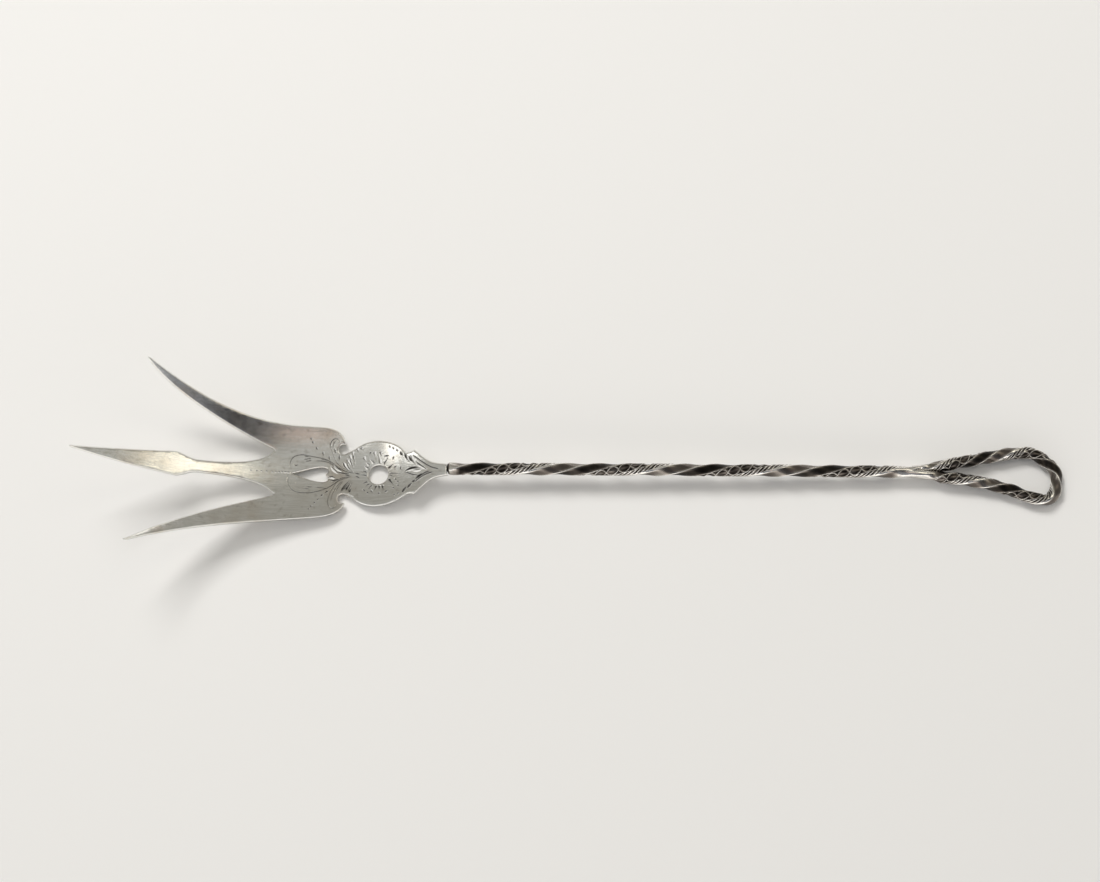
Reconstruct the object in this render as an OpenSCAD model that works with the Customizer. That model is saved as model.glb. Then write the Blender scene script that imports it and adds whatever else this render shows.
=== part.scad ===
// Lettuce fork: a pierced and cupped three-tine head on a twisted wire handle.
// X runs along the fork with the tines at -X and the loop at +X, Z is up.
// The palm and the end of the loop rest on Z = 0.

/* [Head sheet] */
// Thickness of the head through the palm
sheet_t = 1.3; // [1:0.1:2]
// Thickness left at the tip of the centre tine
tip_t = 0.8; // [0.6:0.1:1]
// Radius of the cupping across the head
cup_r = 40; // [36:1:60]

/* [Head profile, seen from the side] */
// Length from the collar to the lowest point of the palm
palm_low = 21.7; // [20:0.1:24]
// Height of the collar above the palm
neck_rise = 4.2; // [3:0.1:6]
// Height of the centre tine's tip above the palm
tine_rise = 21; // [12:0.5:26]

/* [Palm outline, measured from the collar] */
// Width of the collar where the handle begins
collar_w = 2.8; // [2.6:0.1:3.2]
// Distance to the shoulder corners
shoulder_at = 8.2; // [7.6:0.1:8.8]
// Width across the shoulder corners
shoulder_w = 11.2; // [10:0.1:12.2]
// Sideways offset of the shoulder corners towards -Y
shoulder_off = 0.3; // [0:0.05:0.5]
// Distance to the centre of the round disc
disc_at = 17.4; // [16.6:0.1:18]
// Radius of the round disc
disc_r = 8.2; // [7.8:0.1:8.6]
// Distance to the centre of the side notches
notch_at = 25.3; // [25:0.1:26]
// Radius of the side notches
notch_r = 1.15; // [0.8:0.05:1.3]
// Width left between the two notches
waist_w = 10; // [9.4:0.1:10.6]
// Width of the palm in front of the notches
palm_w = 23; // [21:0.1:25]
// Distance to the roots of the tines
root_at = 41.6; // [40:0.1:44]

/* [Tines] */
// Length of the centre tine beyond the roots
centre_len = 45.4; // [40:0.2:50]
// Width of the lozenge on the centre tine
lozenge_w = 6; // [4.6:0.1:7]
// Length from the tip back to the lozenge corners
lozenge_len = 22.9; // [18:0.1:25]
// Width of the centre tine at its waist
tine_waist_w = 3.16; // [2.4:0.02:4]
// Sideways lean of the centre tine at its tip
centre_lean = 0.6; // [0:0.1:1]
// Length of the +Y tine beyond the roots
left_len = 28.7; // [25:0.1:34]
// Distance from the axis to the tip of the +Y tine
left_spread = 23.5; // [20:0.1:26]
// Length of the -Y tine beyond the roots
right_len = 32; // [25:0.1:34]
// Distance from the axis to the tip of the -Y tine
right_spread = 21.9; // [20:0.1:26]
// Width of the blunt tine tips
tip_w = 0.4; // [0.3:0.05:0.8]

/* [Piercings] */
// Distance from the collar to the round hole
hole_at = 16.8; // [16:0.1:17.6]
// Diameter of the round hole
hole_d = 4.8; // [3:0.1:6]
// Distance from the collar to the broad end of the drop window
window_at = 29.3; // [28.4:0.1:30.4]
// Length of the drop window
window_len = 8.4; // [6:0.1:9.6]
// Width of the drop window
window_w = 3.7; // [2.4:0.1:4.8]
// Sideways offset of both piercings from the axis
pierced_y = -0.2; // [-0.4:0.1:0.4]

/* [Handle wire] */
// Length of the handle from the collar to the outside of the loop
handle_len = 147.1; // [130:0.1:170]
// Radius of the wire over its arrises
wire_r = 1.52; // [1.4:0.02:1.8]
// Radius of the wire at the middle of a plain face
face_r = 1.24; // [1.1:0.02:1.34]
// Length of one full turn of the twist
twist_pitch = 27.9; // [20:0.1:36]
// Distance from the collar to the first chased face on top
first_chased = 14; // [4:0.5:24]
// Length of one oval in the chased pattern
oval_len = 2.9; // [2.6:0.1:4.4]
// Depth of the chased pattern
chase_depth = 0.2; // [0.1:0.02:0.24]
// Depth of the fine reeds
reed_depth = 0.12; // [0.06:0.02:0.16]

/* [Handle loop] */
// Length of the loop from where the wire divides
loop_len = 36.4; // [32:0.1:42]
// Distance from the axis to the wire centre of the +Y leg
loop_left = 5.2; // [4:0.1:7]
// Distance from the axis to the wire centre of the -Y leg
loop_right = 6.5; // [5:0.1:8]
// Length over which the soldered end grows to the full wire
scarf_len = 7; // [6:0.5:12]
// Sideways offset of the wire from the axis at the collar
handle_lean = 0.2; // [0:0.05:0.3]

/* [Hidden] */
silver = [0.76, 0.74, 0.69];
dark_silver = [0.37, 0.35, 0.33];

// Overall frame, with the origin at the middle of the footprint
head_len = root_at + centre_len;
collar_x = head_len - (head_len + handle_len) / 2;
axis_y = (right_spread - left_spread) / 2;

// Side profile: two equal arcs lift the neck, one long arc lifts the tines
neck_r = (palm_low * palm_low + neck_rise * neck_rise) / (4 * neck_rise);
neck_angle = asin(palm_low / (2 * neck_r));
tine_run = head_len - palm_low;
tine_r = (tine_run * tine_run + tine_rise * tine_rise) / (2 * tine_rise);
tine_angle = asin(tine_run / tine_r);
tine_thinning = (sheet_t - tip_t) / (1 - cos(tine_angle));
low_x = collar_x - palm_low;
low_z = sheet_t;
collar_z = low_z + neck_rise;
arc_fn = 360;

// How far the swept and cut shapes run past what they form, in millimetres and in degrees
past = 4;
reach = head_len + 2 * past;
head_half_w = max(left_spread, right_spread) + past;

// Stem under the neck, round below and flush with the wire at the collar
stem_r = collar_w / 2 - 0.05;
stem_bend_r = 80;
stem_run = 0.44 * palm_low;
stem_angle = asin(stem_run / stem_bend_r);
stem_sunk = sheet_t / 3;
wire_z = collar_z - sheet_t / 2;

// Points of a cubic curve from a towards d, without its last point
function curve(a, b, c, d, n = 12) = [
    for (i = [0 : n - 1])
        let (t = i / n, u = 1 - t)
        u * u * u * a + 3 * u * u * t * b + 3 * u * t * t * c + t * t * t * d
];

// Points of an arc about a centre, from one angle to another
function arc(c, r, from, to, n = 12) = [
    for (i = [0 : n])
        let (w = from + (to - from) * i / n)
        c + r * [cos(w), sin(w)]
];

// Half of the collar, neck and disc outline, as distance from the collar and half width
disc_leave = 50;
notch_from = -125;
notch_to = 105;
collar_c = [0, collar_w / 2];
disc_side = [disc_at, disc_r];
notch_c = [notch_at, waist_w / 2 + notch_r];
function neck_side(shoulder, step, rim_pull) = concat(
    curve(collar_c, collar_c + [4.6, 0.5], shoulder - [3.9, 3.3], shoulder),
    curve(shoulder, shoulder + [0.5, -0.35], shoulder + step - [0.4, 0.15], shoulder + step, 4),
    curve(shoulder + step, shoulder + step + rim_pull, disc_side - [3.4, 0], disc_side),
    arc([disc_at, 0], disc_r, 90, disc_leave),
    arc(notch_c, notch_r, notch_from, notch_to)
);
left_shoulder = [shoulder_at, shoulder_w / 2 - shoulder_off];
right_shoulder = [shoulder_at, shoulder_w / 2 + shoulder_off];

// Small step behind each shoulder corner, and how the disc's rim leaves it
left_step = [2.1, -0.5];
right_step = [1.6, -0.15];
left_rim = [0.7, 1.6];
right_rim = [1.9, 1];

// Half of the palm and a side tine, from the barb at the notch to the tip and back to the root
barb = notch_c + notch_r * [cos(notch_to), sin(notch_to)] + [-0.2, 0.25];
palm_side = [notch_at + 8.2, palm_w / 2];
root_half = 5.3;
root_side = [root_at, root_half + 0.3];
function tine_side(tip, corner, outer_pull, inner_pull, root_pull) = concat(
    curve(barb, [notch_at, palm_w / 2] + corner, palm_side - [2.3, 0.3], palm_side),
    curve(palm_side, palm_side + [14.4, outer_pull], tip - [10.9, 6.6], tip, 20),
    curve(tip - [0, tip_w], tip + inner_pull, root_side + root_pull, root_side, 20)
);
left_tip = [root_at + left_len, left_spread];
right_tip = [root_at + right_len, right_spread];

// How the corner, the outer edge, the inner edge and the root of each side tine are drawn out
left_corner = [0, 0.6];
right_corner = [0.6, -0.6];
left_outer = 0;
right_outer = 1.6;
left_inner = [-2.5, -5.2];
right_inner = [-10.4, -10.3];
left_root = [9, 4];
right_root = [5.8, 2.2];

// Half of the centre tine, from the root to the lozenge and the tip
root_c = [root_at, root_half];
lozenge_c = [head_len - lozenge_len, lozenge_w / 2];
waist_c = [lozenge_c[0] - 5.5, tine_waist_w / 2];
tip_c = [head_len, tip_w / 2];
function centre_side() = concat(
    curve(root_c, root_c + [1.2, -0.2], [root_at + 1.6, waist_c[1] - 0.05], waist_c, 16),
    curve(waist_c, waist_c + [3, 0], lozenge_c - [2.7, 0.7], lozenge_c, 8),
    curve(lozenge_c, lozenge_c + [7.5, -0.8], tip_c + [-7.5, 1.05], tip_c, 6),
    [tip_c]
);

// The centre tine leans a little from its root to its tip
function lean(points, side) = [
    for (p = points) [p[0], side * p[1] + centre_lean * (p[0] - root_at) / centre_len]
];
function mirror_side(points, side) = [for (p = points) [p[0], side * p[1]]];
function flip(points) = [for (i = [len(points) - 1 : -1 : 0]) points[i]];

left_half = concat(
    mirror_side(neck_side(left_shoulder, left_step, left_rim), 1),
    mirror_side(tine_side(left_tip, left_corner, left_outer, left_inner, left_root), 1),
    lean(centre_side(), 1)
);
right_half = concat(
    mirror_side(neck_side(right_shoulder, right_step, right_rim), -1),
    mirror_side(tine_side(right_tip, right_corner, right_outer, right_inner, right_root), -1),
    lean(centre_side(), -1)
);

module head_outline() {
    polygon([for (p = concat(left_half, flip(right_half))) [collar_x - p[0], axis_y + p[1]]]);
}

// Drop window: a point towards the tines, and two small lobes with a cusp between them
window_tip = [window_at + window_len, 0];
window_side = [window_at + 1, window_w / 2];
window_cusp = [window_at + 0.2, 0];
window_half = concat(
    curve(window_tip, window_tip + [-2.8, 0.21 * window_w], window_side + [2, 0], window_side, 10),
    curve(window_side, window_side - [1.5, 0], window_cusp + [-1.3, 0.2 * window_w], window_cusp, 8)
);

module window_outline() {
    points = concat(window_half, [window_cusp], flip(mirror_side(window_half, -1)));
    polygon([for (p = points) [collar_x - p[0], axis_y + pierced_y + p[1]]]);
}

// Cupped section across the head, drawn at distance r from the axis it is swept about
module cup_section(r, side) {
    intersection() {
        translate([r - side * cup_r, 0])
            difference() {
                circle(r = cup_r + sheet_t, $fn = arc_fn);
                circle(r = cup_r, $fn = arc_fn);
            }
        translate([r, 0])
            square([cup_r, 2 * head_half_w], center = true);
    }
}

// Section of the inside of a cupped surface at distance r, down to a depth from it
module bowl_section(r, curve_r, depth) {
    intersection() {
        translate([r - curve_r, 0])
            circle(r = curve_r, $fn = arc_fn);
        translate([r, 0])
            square([2 * depth, 2 * head_half_w], center = true);
    }
}

// Sweeps a section about an axis along Y, with angles from +X towards +Z
module sweep_xz(x, z, from, to) {
    translate([x, axis_y, z])
        rotate([90, 0, 0])
            rotate_extrude(start = from, angle = to - from, $fn = arc_fn)
                children();
}

// Blocks that meet on the planes where one arc of the profile hands over to the next
module block_from(x) {
    translate([x, -reach / 2, -reach / 2])
        cube([reach, reach, reach]);
}
module at_low_point() {
    translate([low_x, 0, 0])
        children();
}
module at_handover() {
    translate([low_x + palm_low / 2, 0, low_z + neck_rise / 2])
        rotate([0, -neck_angle, 0])
            children();
}

// Tines: one long arc, thinner towards the tips
bowl_depth = 12;
module tine_arc() {
    first = 270 - ceil(tine_angle) - past;
    intersection() {
        difference() {
            sweep_xz(low_x, low_z + tine_r - tine_thinning, first, 270 + past)
                bowl_section(tine_r + sheet_t - tine_thinning, cup_r + sheet_t, bowl_depth);
            sweep_xz(low_x, low_z + tine_r, first - past, 270 + 2 * past)
                bowl_section(tine_r, cup_r, bowl_depth + past);
        }
        at_low_point() block_from(-reach);
    }
}

// Palm: the arc that starts the rise to the collar
module palm_arc() {
    intersection() {
        sweep_xz(low_x, low_z + neck_r, 270 - past, 270 + ceil(neck_angle) + past)
            cup_section(neck_r, 1);
        at_low_point() block_from(0);
        at_handover() block_from(-reach);
    }
}

// Neck: the arc that turns over and meets the collar level
module neck_arc() {
    intersection() {
        sweep_xz(collar_x, collar_z - neck_r, 90 - past, 90 + ceil(neck_angle) + past)
            cup_section(neck_r, -1);
        at_handover() block_from(0);
    }
}

// Stem that thickens the underside of the neck up to the collar
module stem() {
    intersection() {
        sweep_xz(collar_x, wire_z - stem_bend_r, 90 - past, 90 + stem_angle)
            translate([stem_bend_r, 0])
                circle(r = stem_r, $fn = 48);
        translate([collar_x, axis_y, collar_z - neck_r])
            rotate([90, 0, 0])
                cylinder(r = neck_r - stem_sunk, h = 4 * stem_r, center = true, $fn = arc_fn);
    }
}

module fork_head() {
    color(silver)
        difference() {
            intersection() {
                union() {
                    tine_arc();
                    palm_arc();
                    neck_arc();
                    stem();
                }
                linear_extrude(height = reach, center = true)
                    head_outline();
            }
            translate([collar_x - hole_at, axis_y + pierced_y, 0])
                cylinder(d = hole_d, h = reach, center = true, $fn = 96);
            linear_extrude(height = reach, center = true)
                window_outline();
        }
}

// Handle centre line: it leaves the collar level and arches down to the resting loop
split_x = collar_x + handle_len - loop_len;
end_x = collar_x + handle_len - wire_r;
rest_gap = 0.02;
rest_z = wire_r + rest_gap;
function centre_z(x) = wire_z - (wire_z - rest_z) * pow((x - collar_x) / (end_x - collar_x), 2);

// Sideways offset of the shaft, which is gone where the wire divides
function lean_y(x) = axis_y + handle_lean * max(0, (split_x - x) / (split_x - collar_x));

// Plan route of the loop: out along the -Y leg, round the end, back along the +Y leg
leg_y = 0.43 * wire_r;
leg_out = [split_x, -leg_y];
turn_at = [end_x - 8.6, 1.3 - loop_right];
turn_pull = [5.5, -2.4];
end_at = [end_x, -0.5];
back_at = [end_x - 7.3, loop_left];
leg_back = [split_x, leg_y];
route_n = 30;
loop_plan = concat(
    curve(leg_out, leg_out + [12.5, -0.9 * leg_y], turn_at - 0.9 * turn_pull, turn_at, route_n),
    curve(turn_at, turn_at + turn_pull, end_at - [0, loop_right + 0.3], end_at, route_n),
    curve(end_at, end_at + [0, 1.8], back_at + [3.4, 0], back_at, route_n),
    curve(back_at, back_at - [6, 0], leg_back + [14, 2.4 * leg_y], leg_back, route_n),
    [leg_back]
);
loop_dist = [for (i = 0, s = 0; i < len(loop_plan);
    s = s + (i < len(loop_plan) - 1 ? norm(loop_plan[i + 1] - loop_plan[i]) : 0), i = i + 1) s];
loop_path = loop_dist[len(loop_dist) - 1];
table_x = [for (i = [0 : len(loop_plan) - 1]) [loop_dist[i], loop_plan[i][0]]];
table_y = [for (i = [0 : len(loop_plan) - 1]) [loop_dist[i], loop_plan[i][1]]];
function loop_point(s) =
    let (x = lookup(s, table_x))
    [x, axis_y + lookup(s, table_y), centre_z(x)];
function unit(v) = v / norm(v);
tangent_step = 0.4;
function loop_tangent(s) =
    unit(loop_point(min(s + tangent_step, loop_path)) - loop_point(max(s - tangent_step, 0)));

// Points round the wire, by angle from the first arris: chased face, reeds, two plain faces
face_ends = [0, 100, 166, 262, 360];
chased_n = 6;
reed_n = 6;
plain_n = 3;
turn_points = concat(
    [for (i = [0 : chased_n - 1]) face_ends[1] * i / chased_n],
    [for (i = [0 : reed_n - 1]) face_ends[1] + (face_ends[2] - face_ends[1]) * i / reed_n],
    [for (i = [0 : plain_n - 1]) face_ends[2] + (face_ends[3] - face_ends[2]) * i / plain_n],
    [for (i = [0 : plain_n - 1]) face_ends[3] + (face_ends[4] - face_ends[3]) * i / plain_n]
);
ring_n = len(turn_points);
half_n = ring_n / 2;

// Chased ovals: two waves of ridge that cross on the middle of the face, with hollows between
chased_mid = face_ends[1] / 2;
ridge_swing = 33;
ridge_w = 11;
ridge_drop = 0.06;
function ridge(b, s) =
    let (swing = ridge_swing * sin(180 * s / oval_len))
    max(exp(-pow((b - chased_mid - swing) / ridge_w, 2)), exp(-pow((b - chased_mid + swing) / ridge_w, 2)));

// Radius of the wire at point i of the ring that lies s along it
function ring_radius(i, s) =
    i == 0 ? wire_r
    : i < chased_n ? wire_r - ridge_drop - chase_depth * (1 - ridge(turn_points[i], s))
    : i < chased_n + reed_n ? wire_r - reed_depth * ((i - chased_n) % 2)
    : let (u = ((i - chased_n - reed_n) % plain_n) / plain_n)
        face_r + (wire_r - face_r) * pow(2 * u - 1, 2);

// The handle turns left-handed, and its first chased face looks up at first_chased
function twist(s) = 90 - chased_mid + 360 * (first_chased - s) / twist_pitch;
function ring_point(i, s, k = 1) =
    let (w = turn_points[i] + twist(s), r = k * ring_radius(i, s))
    [r * cos(w), r * sin(w)];

// Shaft rings from the collar to where the wire divides
shaft_len = split_x - collar_x;
ring_gap = oval_len / 4;
shaft_n = round(shaft_len / ring_gap);
neck_in = [0.8, 0.94];
function shaft_ring(k) =
    let (s = shaft_len * k / shaft_n, x = collar_x + s, z = centre_z(x))
    [for (i = [0 : ring_n - 1])
        let (p = ring_point(i, s, k < 2 ? neck_in[k] : 1))
        [x, lean_y(x) + p[0], z + p[1]]];

// The last shaft ring is cut by an upright seam, and each half starts one leg of the loop
function nearest_top(angles) =
    let (off = [for (a = angles) 180 - abs(180 - ((a - 90) % 360 + 360) % 360)], least = min(off))
    [for (i = [0 : len(off) - 1]) if (off[i] == least) i][0];
function angles_at(s) = [for (b = turn_points) b + twist(s)];
top_i = nearest_top(angles_at(shaft_len));
end_i = nearest_top(angles_at(shaft_len + loop_path));
function wrap(i) = ((i % ring_n) + ring_n) % ring_n;
seam_top = ring_point(top_i, shaft_len);
seam_bottom = ring_point(wrap(top_i + half_n), shaft_len);
seam = [for (i = [1 : half_n - 1]) seam_bottom + (seam_top - seam_bottom) * i / half_n];
function first_half(j) =
    (j <= half_n ? ring_point(wrap(top_i + j), shaft_len) : seam[j - half_n - 1]) + [leg_y, 0];
function last_half(j) =
    let (p = j <= half_n ? ring_point(wrap(top_i - j), shaft_len) : seam[j - half_n - 1])
    [leg_y - p[0], p[1]];

// Loop rings grow out of the first half and shrink back into the last half
loop_n = round(loop_path / ring_gap);
function loop_ring(k) =
    let (d = loop_path * k / loop_n, s = shaft_len + d,
         out = max(0, 1 - d / scarf_len), back = max(0, 1 - (loop_path - d) / scarf_len),
         c = loop_point(d), t = loop_tangent(d),
         side = unit(cross([0, 0, 1], t)), up = cross(t, side))
    [for (j = [0 : ring_n - 1])
        let (i = wrap(top_i + j), full = ring_point(i, s),
             p = full + out * (first_half(j) - full) + back * (last_half(wrap(i - end_i)) - full))
        c + p[0] * side + p[1] * up];

shaft_points = [for (k = [0 : shaft_n]) each shaft_ring(k)];
seam_points = [for (p = seam) [split_x, axis_y + p[0], centre_z(split_x) + p[1]]];
loop_points = [for (k = [1 : loop_n - 1]) each loop_ring(k)];
split_base = shaft_n * ring_n;
seam_base = split_base + ring_n;
loop_base = seam_base + len(seam);

// Two triangles for each step round a strip between two rings of point numbers
function strip(a, b) = [
    for (j = [0 : ring_n - 1])
        let (n = (j + 1) % ring_n)
        each [[a[j], a[n], b[n]], [a[j], b[n], b[j]]]
];
function shaft_row(k) = [for (i = [0 : ring_n - 1]) k * ring_n + i];
function loop_row(k) = [for (j = [0 : ring_n - 1]) loop_base + (k - 1) * ring_n + j];
first_row = [for (j = [0 : ring_n - 1])
    j <= half_n ? split_base + wrap(top_i + j) : seam_base + j - half_n - 1];
last_row = [for (j = [0 : ring_n - 1])
    let (m = wrap(top_i + j - end_i))
    m <= half_n ? split_base + wrap(top_i - m) : seam_base + m - half_n - 1];

handle_faces = concat(
    [for (i = [1 : ring_n - 2]) [0, i, i + 1]],
    [for (k = [0 : shaft_n - 1]) each strip(shaft_row(k + 1), shaft_row(k))],
    strip(loop_row(1), first_row),
    [for (k = [1 : loop_n - 2]) each strip(loop_row(k + 1), loop_row(k))],
    strip(last_row, loop_row(loop_n - 1))
);

module twisted_handle() {
    color(dark_silver)
        polyhedron(points = concat(shaft_points, seam_points, loop_points), faces = handle_faces);
}

fork_head();
twisted_handle();
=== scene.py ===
"""Lettuce fork: polished pierced head with bright-cut ornament, and a dark twisted wire handle."""
import math

import bpy
import numpy as np
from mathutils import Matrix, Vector
from mathutils.geometry import delaunay_2d_cdt
from mathutils.kdtree import KDTree


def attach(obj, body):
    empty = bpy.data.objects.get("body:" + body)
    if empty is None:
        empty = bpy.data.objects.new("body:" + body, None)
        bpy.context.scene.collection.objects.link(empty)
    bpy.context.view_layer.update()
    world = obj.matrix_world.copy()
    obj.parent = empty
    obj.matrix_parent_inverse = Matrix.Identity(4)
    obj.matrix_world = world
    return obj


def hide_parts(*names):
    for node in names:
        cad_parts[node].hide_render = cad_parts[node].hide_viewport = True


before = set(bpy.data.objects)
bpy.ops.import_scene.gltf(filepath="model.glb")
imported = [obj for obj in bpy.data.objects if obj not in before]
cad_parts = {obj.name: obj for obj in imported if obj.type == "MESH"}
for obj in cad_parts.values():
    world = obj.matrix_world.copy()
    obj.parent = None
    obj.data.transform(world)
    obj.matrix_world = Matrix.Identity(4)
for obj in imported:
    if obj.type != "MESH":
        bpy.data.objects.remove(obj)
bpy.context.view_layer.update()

MM = 0.001

# Sizes of the head in millimetres; s is measured from the collar towards the tips
SHEET_T, TIP_T, CUP_R = 1.3, 0.8, 40.0
PALM_LOW, NECK_RISE, TINE_RISE = 21.7, 4.2, 21.0
HEAD_LEN, HANDLE_LEN = 87.0, 147.1
COLLAR_X = HEAD_LEN - (HEAD_LEN + HANDLE_LEN) / 2
AXIS_Y = -0.8
NECK_R = (PALM_LOW ** 2 + NECK_RISE ** 2) / (4 * NECK_RISE)
NECK_A = math.asin(PALM_LOW / (2 * NECK_R))
TINE_RUN = HEAD_LEN - PALM_LOW
TINE_R = (TINE_RUN ** 2 + TINE_RISE ** 2) / (2 * TINE_RISE)
THINNING = (SHEET_T - TIP_T) / (1 - math.cos(math.asin(TINE_RUN / TINE_R)))
LOW_X, LOW_Z = COLLAR_X - PALM_LOW, SHEET_T
COLLAR_Z = LOW_Z + NECK_RISE
STEM_R, STEM_BEND_R, STEM_RUN = 1.35, 80.0, 12.0
WIRE_Z = COLLAR_Z - SHEET_T / 2


# Outline of the head

def cubic(a, b, c, d, step=0.28):
    """Points of a cubic curve without its last point."""
    a, b, c, d = (np.array(p, float) for p in (a, b, c, d))
    n = max(3, math.ceil((np.linalg.norm(b - a) + np.linalg.norm(c - b) + np.linalg.norm(d - c)) / step))
    t = (np.arange(n) / n)[:, None]
    u = 1 - t
    return list(u ** 3 * a + 3 * u * u * t * b + 3 * u * t * t * c + t ** 3 * d)


def arc(c, r, start, end, n=20):
    """Points of an arc between two angles in degrees."""
    w = np.radians(np.linspace(start, end, n + 1))
    return [np.array(c) + r * np.array([math.cos(v), math.sin(v)]) for v in w]


DISC_AT, DISC_R, DISC_END = 17.4, 8.2, 50
NOTCH_AT, NOTCH_R, NOTCH_FROM, NOTCH_TO = 25.3, 1.15, -125, 105
WAIST_W, BARB_OFF = 10.0, [-0.2, 0.25]
NOTCH_C = np.array([NOTCH_AT, WAIST_W / 2 + NOTCH_R])
SHOULDER_AT, SHOULDER_W, SHOULDER_OFF = 8.2, 11.2, 0.3
PALM_W, PALM_SIDE_OFF = 23.0, 8.2
PALM_SIDE = np.array([NOTCH_AT + PALM_SIDE_OFF, PALM_W / 2])
ROOT_AT, ROOT_HALF, ROOT_OFF = 41.6, 5.3, 0.3
ROOT_SIDE = np.array([ROOT_AT, ROOT_HALF + ROOT_OFF])
LEFT_TIP, RIGHT_TIP, TIP_W, TIP_SPARE = [70.3, 23.5], [73.6, 21.9], 0.4, 0.02
BLADE_LEN, BLADE_HALF, STALK_LEN, STALK_HALF = 22.9, 3.0, 5.5, 1.58
CENTRE_LEAN = 0.6
HOLE_C, HOLE_R, HOLE_N = np.array([16.8, -0.2]), 2.4, 72
WINDOW_AT, WINDOW_LEN, WINDOW_W, WINDOW_OFF = 29.3, 8.4, 3.7, -0.2


def neck_side(half_w, step, rim_pull):
    """One side from the collar over the shoulder and the disc to the notch."""
    corner = np.array([SHOULDER_AT, half_w])
    step_in = corner + step
    return (cubic([0, 1.4], [4.6, 1.9], corner - [3.9, 3.3], corner)
            + cubic(corner, corner + [0.5, -0.35], step_in - [0.4, 0.15], step_in)
            + cubic(step_in, step_in + rim_pull, [DISC_AT - 3.4, DISC_R], [DISC_AT, DISC_R])
            + arc([DISC_AT, 0], DISC_R, 90, DISC_END)
            + arc(NOTCH_C, NOTCH_R, NOTCH_FROM, NOTCH_TO))


def tine_side(tip, corner, outer_pull, inner_pull, root_pull):
    """One side from the barb out to the tip of the outer tine, and back to the root between the tines."""
    tip = np.array(tip)
    w = math.radians(NOTCH_TO)
    barb = NOTCH_C + NOTCH_R * np.array([math.cos(w), math.sin(w)]) + BARB_OFF
    outer = cubic(PALM_SIDE, PALM_SIDE + [14.4, outer_pull], tip + [-10.9, -6.6], tip)
    # The last points before the tip would stick out of the solid's box
    return (cubic(barb, np.array([NOTCH_AT, PALM_W / 2]) + corner, PALM_SIDE + [-2.3, -0.3], PALM_SIDE)
            + [p for p in outer if p[1] < tip[1] - TIP_W - TIP_SPARE]
            + cubic(tip - [0, TIP_W], tip + inner_pull, ROOT_SIDE + root_pull, ROOT_SIDE))


def centre_side():
    """One side of the centre tine: its stalk, its lozenge blade and its point."""
    blade = np.array([HEAD_LEN - BLADE_LEN, BLADE_HALF])
    waist = np.array([blade[0] - STALK_LEN, STALK_HALF])
    return (cubic([ROOT_AT, ROOT_HALF], [ROOT_AT + 1.2, ROOT_HALF - 0.2], [ROOT_AT + 1.6, 1.53], waist)
            + cubic(waist, waist + [3, 0], blade + [-2.7, -0.7], blade)
            + cubic(blade, blade + [7.5, -0.8], [HEAD_LEN - 7.5, 1.25], [HEAD_LEN, TIP_W / 2])
            + [np.array([HEAD_LEN, TIP_W / 2])])


def mirror(points, side, lean=0.0):
    """The points on the left side (1) or the right side (-1), with a lean that grows towards the tips."""
    return [(p[0], side * p[1] + lean * (p[0] - ROOT_AT) / (HEAD_LEN - ROOT_AT)) for p in points]


def head_outline():
    """The outline of the head, whose two sides differ a little."""
    left = (mirror(neck_side(SHOULDER_W / 2 - SHOULDER_OFF, [2.1, -0.5], [0.7, 1.6]), 1)
            + mirror(tine_side(LEFT_TIP, [0, 0.6], 0, [-2.5, -5.2], [9, 4]), 1)
            + mirror(centre_side(), 1, CENTRE_LEAN))
    right = (mirror(neck_side(SHOULDER_W / 2 + SHOULDER_OFF, [1.6, -0.15], [1.9, 1]), -1)
             + mirror(tine_side(RIGHT_TIP, [0.6, -0.6], 1.6, [-10.4, -10.3], [5.8, 2.2]), -1)
             + mirror(centre_side(), -1, CENTRE_LEAN))
    return np.array(left + right[::-1])


def hole_outline():
    w = np.linspace(0, 2 * math.pi, HOLE_N + 1)[:-1]
    return HOLE_C + HOLE_R * np.column_stack([np.cos(w), np.sin(w)])


def window_outline():
    """The drop window, with its point towards the tines and its broad end towards the disc."""
    at, end, wide, half_w = WINDOW_AT, WINDOW_AT + WINDOW_LEN, WINDOW_W, WINDOW_W / 2
    half = (cubic([end, 0], [end - 2.8, 0.21 * wide], [at + 3, half_w], [at + 1, half_w], 0.2)
            + cubic([at + 1, half_w], [at - 0.5, half_w], [at - 1.1, wide / 5], [at + 0.2, 0], 0.15)
            + [np.array([at + 0.2, 0])])
    other = [np.array([p[0], -p[1]]) for p in half[-2:0:-1]]
    return np.array(half + other) + [0, WINDOW_OFF]


# Surfaces of the head

def root(value, least=0.01):
    """A square root that stays real past the end of an arc."""
    return np.sqrt(np.maximum(value, least))


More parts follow.
